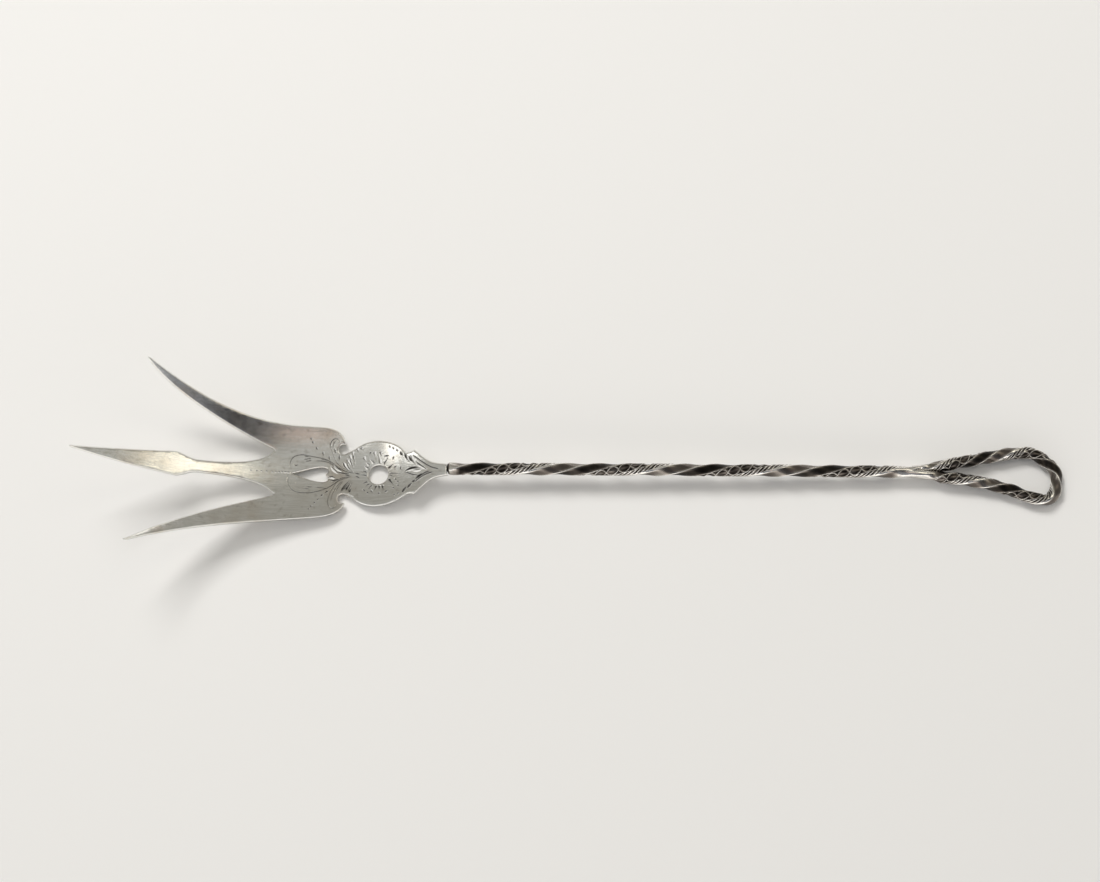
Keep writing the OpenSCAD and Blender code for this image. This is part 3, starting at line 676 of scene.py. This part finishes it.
def chased_face(s, b):
    """Radius and oxide where two waves of ridge cross, with sunk ovals between them."""
    turn = math.pi * s / OVAL_LEN
    wave = OVAL_SWING * abs(math.sin(turn)) ** OVAL_POWER
    slope = math.radians(OVAL_SWING) * WIRE_R * math.pi / OVAL_LEN * math.cos(turn)
    off = np.minimum(np.abs(b - CHASED_MID - wave), np.abs(b - CHASED_MID + wave))
    across = off * math.radians(WIRE_R) / math.hypot(1, slope)
    edge = np.minimum(b, FACE_ENDS[1] - b) * math.radians(WIRE_R)
    nick = NICK_W + NICK_SWING * math.cos(2 * math.pi * s / NICK_GAP)
    high = np.clip(np.maximum(np.exp(-(across / RIDGE_W) ** 2), np.exp(-(edge / nick) ** 2)), 0, 1)
    mid = np.exp(-((b - CHASED_MID) / WORN_SPREAD) ** 2)
    worn = WORN + WORN_SWING * math.sin(WORN_RATE * s) + WORN_MID * mid
    dark = np.minimum(CHASED_OXIDE * (1 - high), 1 - worn * (1 - high)) + RIDGE_OXIDE * high
    return WIRE_R - ARRIS - CHASE_DEPTH * (1 - high), dark


def reeded_face(s, b):
    """Radius and oxide where reeds run steeply across."""
    groove = (0.5 - 0.5 * np.cos(2 * np.pi * (s + b / REED_SLANT) / REED_GAP)) ** REED_POWER
    edge = np.minimum(b - FACE_ENDS[1], REED_END - b)
    groove = groove * np.clip(edge / REED_FADE, 0, 1) * (REED_EVEN + REED_SWING * math.sin(REED_RATE * s))
    return WIRE_R - ARRIS - REED_DEPTH * groove, np.minimum(REED_OXIDE * groove, 1)


def plain_face(b, start, end, oxide):
    """Radius and oxide of a face that is hollowed and dull between bright arrises."""
    off = np.abs(2 * (b - start) / (end - start) - 1)
    return FACE_R + (WIRE_R - FACE_R) * off ** PLAIN_HOLLOW, oxide * (1 - off ** PLAIN_DULL)


def relief(s):
    """Radius round the wire at length s, and how much oxide lies there."""
    faces = [chased_face(s, TURN), reeded_face(s, TURN)]
    faces += [plain_face(TURN, *FACE_ENDS[k + 2:k + 4], PLAIN_OXIDE[k]) for k in (0, 1)]
    r, dark = (np.choose(FACE_OF, values) for values in zip(*faces))
    smooth = near_split(s)
    filled = np.minimum(WIRE_R - SMOOTH_BELOW, r + SMOOTH_FILL)
    return r + smooth * SMOOTHED * (filled - r), dark * (1 - SMOOTHED * smooth)


def twist(s):
    """Angle of the wire's section, which turns faster round the loop."""
    tighter = LOOP_TIGHTER * max(0.0, s - HANDLE_LEN + LOOP_LEN)
    return 90 - CHASED_MID + 360 * (FIRST_CHASED - s - tighter) / TWIST_PITCH


def ring_points(s, size=1.0):
    """Points round the section at length s, and the oxide there."""
    r, dark = relief(s)
    w = np.radians(TURN + twist(s))
    return np.column_stack([size * r * np.cos(w), size * r * np.sin(w)]), dark


def nearest_top(s):
    """Index of the section's point that lies nearest the top at length s."""
    off = np.abs((TURN + twist(s) - 90 + 180) % 360 - 180)
    return int(np.argmin(off))


def build_handle():
    """One mesh: the shaft, which divides at the split into the two ends of the loop."""
    shaft_n = round(SHAFT_LEN / RING_GAP)
    points, oxide = [], []
    for k in range(shaft_n + 1):
        s = SHAFT_LEN * k / shaft_n
        x = COLLAR_X + s
        joint = 1 - min(1.0, max(0.0, (s - JOINT_FROM) / JOINT_RUN)) ** 0.5
        p, dark = ring_points(s, 1 - (1 - JOINT_SIZE) * joint)
        dark = np.clip(dark * np.interp(s, PALE_AT, PALE_LEFT) + JOINT_OXIDE * joint, 0, 1)
        points.append(np.column_stack([np.full(RING_N, x), lean_y(x) + p[:, 0], centre_z(x) + p[:, 1]]))
        oxide.append(dark)
    # The split: its ring is cut from top to bottom by a seam that both legs share
    top_i, end_i = nearest_top(SHAFT_LEN), nearest_top(SHAFT_LEN + LOOP_PATH)
    split, _ = ring_points(SHAFT_LEN)
    top, bottom = split[top_i], split[(top_i + HALF_N) % RING_N]
    seam = np.array([bottom + (top - bottom) * i / HALF_N for i in range(1, HALF_N)])
    across = np.full(len(seam), SPLIT_X)
    points.append(np.column_stack([across, AXIS_Y + seam[:, 0], centre_z(SPLIT_X) + seam[:, 1]]))
    oxide.append(np.full(len(seam), SEAM_OXIDE))
    order = (top_i + np.arange(RING_N)) % RING_N
    first = np.vstack([split[order[:HALF_N + 1]], seam]) + [LEG_Y, 0]
    back_order = (top_i - np.arange(HALF_N + 1)) % RING_N
    last = np.vstack([split[back_order], seam])
    last = np.column_stack([LEG_Y - last[:, 0], last[:, 1]])
    back_at = (order - end_i) % RING_N
    # The loop: its rings take the shape of a leg towards both ends
    loop_n = round(LOOP_PATH / RING_GAP)
    for k in range(1, loop_n):
        d = LOOP_PATH * k / loop_n
        out, back = max(0.0, 1 - d / SCARF_LEN), max(0.0, 1 - (LOOP_PATH - d) / SCARF_LEN)
        c = loop_point(d)
        t = loop_point(min(d + TANGENT_STEP, LOOP_PATH)) - loop_point(max(d - TANGENT_STEP, 0))
        t /= np.linalg.norm(t)
        side = np.cross([0, 0, 1], t)
        side /= np.linalg.norm(side)
        up = np.cross(t, side)
        full, dark = ring_points(SHAFT_LEN + d)
        full, dark = full[order], dark[order]
        p = full + out * (first - full) + back * (last[back_at] - full)
        points.append(c + p[:, :1] * side + p[:, 1:] * up)
        smear = max(out, back)
        oxide.append(dark * (1 - smear) + SCARF_OXIDE * smear)
    split_base = shaft_n * RING_N
    seam_base = split_base + RING_N
    loop_base = seam_base + len(seam)
    # One face closes the wire at the collar
    faces = [tuple(range(RING_N))]

    def strip(a, b):
        for j in range(RING_N):
            n = (j + 1) % RING_N
            faces.append((a[j], a[n], b[n], b[j]))

    def leg_row(at, sign):
        """The point of the split's ring, or of its seam, that a leg's point at starts from."""
        return split_base + (top_i + sign * at) % RING_N if at <= HALF_N else seam_base + at - HALF_N - 1

    ids = np.arange(RING_N)
    for k in range(shaft_n):
        strip((k + 1) * RING_N + ids, k * RING_N + ids)
    strip(loop_base + ids, [leg_row(j, 1) for j in range(RING_N)])
    for k in range(1, loop_n - 1):
        strip(loop_base + k * RING_N + ids, loop_base + (k - 1) * RING_N + ids)
    strip([leg_row(int(j), -1) for j in back_at], loop_base + (loop_n - 2) * RING_N + ids)
    return new_mesh("handle_wire", np.vstack(points) * MM, faces, [("oxide", np.concatenate(oxide))])


# Materials

# Silver of the head from stained to clean, what lies over it, and the two walls of a cut: a painted
# highlight and tarnish with painted shade
STAINED, TOUCHED, CLEAN = (0.74, 0.68, 0.6), (0.84, 0.83, 0.79), (0.89, 0.895, 0.875)
STREAK_TONE, SPECK_TONE = (0.6, 0.57, 0.51), (0.5, 0.46, 0.4)
PAINTED_HIGHLIGHT_TONE, TARNISH_AND_SHADE_TONE = (0.97, 0.965, 0.94), (0.07, 0.066, 0.058)
# Silver of the wire from bare to fully oxidised
WIRE_TONES = [(0.06, (0.9, 0.88, 0.84)), (0.28, (0.42, 0.39, 0.35)), (0.55, (0.15, 0.13, 0.115)),
              (0.85, (0.03, 0.026, 0.022)), (1.0, (0.015, 0.013, 0.011))]
BLACK, WHITE = (0, 0, 0), (1, 1, 1)
# Textures by their features in a metre: stains, specks, wear and brushing of the head, then the wire's own
BLOTCHES, SPECKS, WEAR, STREAKS, SCRATCHES = 95, 800, 320, (160, 2400, 1200), (260, 3600, 2000)
PATCHES, GRAIN = 260, 2600
STREAKED, SPECKED, PAINTED_HIGHLIGHT_METAL = 0.22, 0.4, 0.2
SMOOTHEST, WEAR_ROUGH, CUT_ROUGH, WIRE_ROUGH, OXIDE_ROUGH = 0.14, 0.14, 0.15, 0.16, 0.22
SCRATCH_BUMP, SCRATCH_DEPTH, GRAIN_BUMP, GRAIN_DEPTH = 0.35, 0.00005, 0.25, 0.00003
PATCHY = 0.6


def new_material(name):
    mat = bpy.data.materials.new(name)
    mat.use_nodes = True
    nodes, links = mat.node_tree.nodes, mat.node_tree.links
    return mat, nodes, links, nodes["Principled BSDF"]


def noise(nodes, links, coord, scale, detail=3.0, stretch=None):
    """A noise texture in the object's own metres, stretched where asked."""
    tex = nodes.new("ShaderNodeTexNoise")
    tex.inputs["Scale"].default_value = scale
    tex.inputs["Detail"].default_value = detail
    if stretch:
        mapping = nodes.new("ShaderNodeMapping")
        mapping.inputs["Scale"].default_value = stretch
        links.new(coord, mapping.inputs["Vector"])
        coord = mapping.outputs["Vector"]
    links.new(coord, tex.inputs["Vector"])
    return tex.outputs["Fac"]


def ramp(nodes, links, fac, stops):
    """A colour ramp through stops of a place and a colour."""
    node = nodes.new("ShaderNodeValToRGB")
    elements = node.color_ramp.elements
    elements[0].position, elements[0].color = stops[0][0], (*stops[0][1], 1)
    elements[1].position, elements[1].color = stops[-1][0], (*stops[-1][1], 1)
    for at, color in stops[1:-1]:
        e = elements.new(at)
        e.color = (*color, 1)
    links.new(fac, node.inputs["Fac"])
    return node.outputs["Color"]


def mix_color(nodes, links, fac, a, b):
    """Goes from a to b by fac, each a socket or a value."""
    node = nodes.new("ShaderNodeMix")
    node.data_type = "RGBA"
    for value, socket in ((fac, node.inputs[0]), (a, node.inputs[6]), (b, node.inputs[7])):
        if hasattr(value, "links"):
            links.new(value, socket)
        elif isinstance(value, tuple):
            socket.default_value = (*value, 1)
        else:
            socket.default_value = value
    return node.outputs[2]


def math_node(nodes, links, kind, a, b, c=0.0, clamp=False):
    """A math node on sockets or values."""
    node = nodes.new("ShaderNodeMath")
    node.operation = kind
    node.use_clamp = clamp
    for value, socket in zip((a, b, c), node.inputs):
        if hasattr(value, "links"):
            links.new(value, socket)
        else:
            socket.default_value = value
    return node.outputs[0]


def attribute(nodes, name):
    node = nodes.new("ShaderNodeAttribute")
    node.attribute_name = name
    return node.outputs["Fac"]


def bump(nodes, links, bsdf, height, strength, distance):
    """Lets a height stir the surface's normal."""
    node = nodes.new("ShaderNodeBump")
    node.inputs["Strength"].default_value = strength
    node.inputs["Distance"].default_value = distance
    links.new(height, node.inputs["Height"])
    links.new(node.outputs["Normal"], bsdf.inputs["Normal"])


def head_material():
    """Brushed silver, stained in places, with tarnish and painted shade in the cuts and a painted highlight
    on their far walls.
    """
    mat, nodes, links, bsdf = new_material("polished_sheet_silver")
    coord = nodes.new("ShaderNodeTexCoord").outputs["Object"]
    cut, painted_gleam = attribute(nodes, "cut"), attribute(nodes, "painted_gleam")
    blotch = noise(nodes, links, coord, BLOTCHES, 4)
    tone = ramp(nodes, links, blotch, [(0.33, STAINED), (0.48, TOUCHED), (0.68, CLEAN)])
    streak = noise(nodes, links, coord, 1.0, 3, STREAKS)
    speck = noise(nodes, links, coord, SPECKS, 3)
    for texture, stops, strength, over in (
            (streak, [(0.42, WHITE), (0.58, BLACK)], STREAKED, STREAK_TONE),
            (speck, [(0.58, BLACK), (0.72, WHITE)], SPECKED, SPECK_TONE)):
        fac = math_node(nodes, links, "MULTIPLY", ramp(nodes, links, texture, stops), strength)
        tone = mix_color(nodes, links, fac, tone, over)
    # A painted highlight on the cuts' far walls
    tone = mix_color(nodes, links, painted_gleam, tone, PAINTED_HIGHLIGHT_TONE)
    # Tarnish and painted shade in the cuts, over the painted highlight
    tone = mix_color(nodes, links, cut, tone, TARNISH_AND_SHADE_TONE)
    links.new(tone, bsdf.inputs["Base Color"])
    # The painted highlight also takes the metal out of the silver
    metal = math_node(nodes, links, "MULTIPLY_ADD", painted_gleam, PAINTED_HIGHLIGHT_METAL - 1, 1.0)
    links.new(metal, bsdf.inputs["Metallic"])
    wear = noise(nodes, links, coord, WEAR, 5)
    rough = math_node(nodes, links, "MULTIPLY_ADD", wear, WEAR_ROUGH, SMOOTHEST)
    cut_rough = math_node(nodes, links, "MULTIPLY", cut, CUT_ROUGH)
    rough = math_node(nodes, links, "ADD", rough, cut_rough, clamp=True)
    links.new(rough, bsdf.inputs["Roughness"])
    scratch = noise(nodes, links, coord, 1.0, 3, SCRATCHES)
    bump(nodes, links, bsdf, scratch, SCRATCH_BUMP, SCRATCH_DEPTH)
    return mat


def handle_material():
    """Silver that is bare on the ridges and black with oxide in the hollows."""
    mat, nodes, links, bsdf = new_material("oxidised_wire_silver")
    coord = nodes.new("ShaderNodeTexCoord").outputs["Object"]
    oxide = attribute(nodes, "oxide")
    patch = noise(nodes, links, coord, PATCHES, 4)
    patch = math_node(nodes, links, "MULTIPLY_ADD", patch, PATCHY, -PATCHY / 2)
    dark = math_node(nodes, links, "ADD", oxide, patch)
    links.new(ramp(nodes, links, dark, WIRE_TONES), bsdf.inputs["Base Color"])
    bsdf.inputs["Metallic"].default_value = 1.0
    rough = math_node(nodes, links, "MULTIPLY_ADD", dark, OXIDE_ROUGH, WIRE_ROUGH, clamp=True)
    links.new(rough, bsdf.inputs["Roughness"])
    grain = noise(nodes, links, coord, GRAIN, 3)
    bump(nodes, links, bsdf, grain, GRAIN_BUMP, GRAIN_DEPTH)
    return mat


# Pieces

head = build_head()
head.data.materials.append(head_material())
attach(head, "root")
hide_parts("fork_head")

handle = build_handle()
handle.data.materials.append(handle_material())
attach(handle, "root")
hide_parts("twisted_handle")


# Camera, floor and light

PHOTO_W, FOCAL_PX, SENSOR_W = 1100, 2382, 36
CAMERA_AT, CAMERA_TILT = (-0.00575, -0.16973, 0.54686), 18
FLOOR_HALF, FLOOR_COLOR, FLOOR_ROUGH = 3, (0.9, 0.893, 0.88, 1), 0.9

camera_data = bpy.data.cameras.new("camera")
camera_data.sensor_width = SENSOR_W
camera_data.lens = FOCAL_PX / PHOTO_W * SENSOR_W
camera_data.clip_start = 0.01
camera = bpy.data.objects.new("camera", camera_data)
camera.location = CAMERA_AT
camera.rotation_euler = (math.radians(CAMERA_TILT), 0, 0)
bpy.context.scene.collection.objects.link(camera)
bpy.context.scene.camera = camera

floor_mesh = bpy.data.meshes.new("floor")
corners = [(FLOOR_HALF * x, FLOOR_HALF * y, 0) for x, y in ((-1, -1), (1, -1), (1, 1), (-1, 1))]
floor_mesh.from_pydata(corners, [], [(0, 1, 2, 3)])
floor = bpy.data.objects.new("floor", floor_mesh)
bpy.context.scene.collection.objects.link(floor)
floor_mat, _, _, floor_bsdf = new_material("pale_floor")
floor_bsdf.inputs["Base Color"].default_value = FLOOR_COLOR
floor_bsdf.inputs["Roughness"].default_value = FLOOR_ROUGH
floor_mesh.materials.append(floor_mat)


def softbox(name, toward, distance, size, radiance, color, at, mirrored=True):
    """A rectangular lamp of even radiance in a direction from a point, which it faces."""
    data = bpy.data.lights.new(name, "AREA")
    data.shape = "RECTANGLE"
    data.size, data.size_y = size
    data.energy = radiance * math.pi * size[0] * size[1]
    data.color = color
    light = bpy.data.objects.new(name, data)
    light.location = Vector(at) + distance * Vector(toward).normalized()
    light.rotation_euler = Vector(toward).to_track_quat("Z", "Y").to_euler()
    light.visible_glossy = mirrored
    bpy.context.scene.collection.objects.link(light)


PANEL_COLOR = (1, 0.99, 0.97)
softbox("key", (-0.3, 0.55, 0.78), 1.4, (0.5, 0.5), 14.0, (1, 0.985, 0.96), (0, 0, 0), mirrored=False)
softbox("ceiling_panel", (-0.6, 0.04, 0.8), 1.2, (0.34, 0.34), 1.5, PANEL_COLOR, (-0.045, 0, 0))
softbox("upper_panel", (-0.27, -0.22, 0.94), 1.2, (0.2, 0.5), 1.3, PANEL_COLOR, (-0.045, 0, 0))
softbox("warm_panel", (0.50, 0.28, 0.82), 1.2, (0.36, 0.4), 1.15, (1, 0.92, 0.75), (-0.1, 0.01, 0.01))

world = bpy.data.worlds.new("studio")
bpy.context.scene.world = world
world.use_nodes = True
wn, wl = world.node_tree.nodes, world.node_tree.links
direction = wn.new("ShaderNodeTexCoord").outputs["Generated"]


def between(value, low, high, soft):
    """1 while a value lies between two limits, falling to 0 over a soft margin."""
    parts = []
    for edge, sign in ((low, 1), (high, -1)):
        step = wn.new("ShaderNodeMapRange")
        step.interpolation_type = "SMOOTHSTEP"
        step.inputs["From Min"].default_value = edge - sign * soft
        step.inputs["From Max"].default_value = edge
        wl.new(value, step.inputs["Value"])
        parts.append(step.outputs["Result"])
    return math_node(wn, wl, "MULTIPLY", *parts)


axes = wn.new("ShaderNodeSeparateXYZ")
wl.new(direction, axes.inputs[0])
along, across, up = axes.outputs["X"], axes.outputs["Y"], axes.outputs["Z"]

# The room that the metal mirrors: a tone, then others over it, each between limits with soft margins
ROOM_TONE = (0.44, 0.437, 0.415)
PARTS = {
    "far wall": ((0.33, 0.32, 0.29), (across, 0.5, 2, 0.3)),
    "near wall": ((0.23, 0.235, 0.25), (across, -2, -0.3, 0.12)),
    "blush": ((0.78, 0.58, 0.48), (along, 0.08, 0.17, 0.05), (across, -0.2, -0.14, 0.07)),
    "gloom": ((0.02, 0.02, 0.025), (along, 0.24, 0.47, 0.02), (across, -0.42, -0.02, 0.05)),
    "horizon": ((1.35, 1.33, 1.3), (up, -1, 0.12, 0.05)),
    "front": ((1.5, 1.45, 1.4), (across, -2, -0.6, 0.1), (up, -1, 0.42, 0.06))}
room = ROOM_TONE
for tone, *limits in PARTS.values():
    masks = [between(*limit) for limit in limits]
    mask = masks[0] if len(masks) == 1 else math_node(wn, wl, "MULTIPLY", *masks)
    room = mix_color(wn, wl, mask, room, tone)
wl.new(room, wn["Background"].inputs["Color"])
wn["Background"].inputs["Strength"].default_value = 1.0

bpy.context.scene.view_settings.view_transform = "Standard"
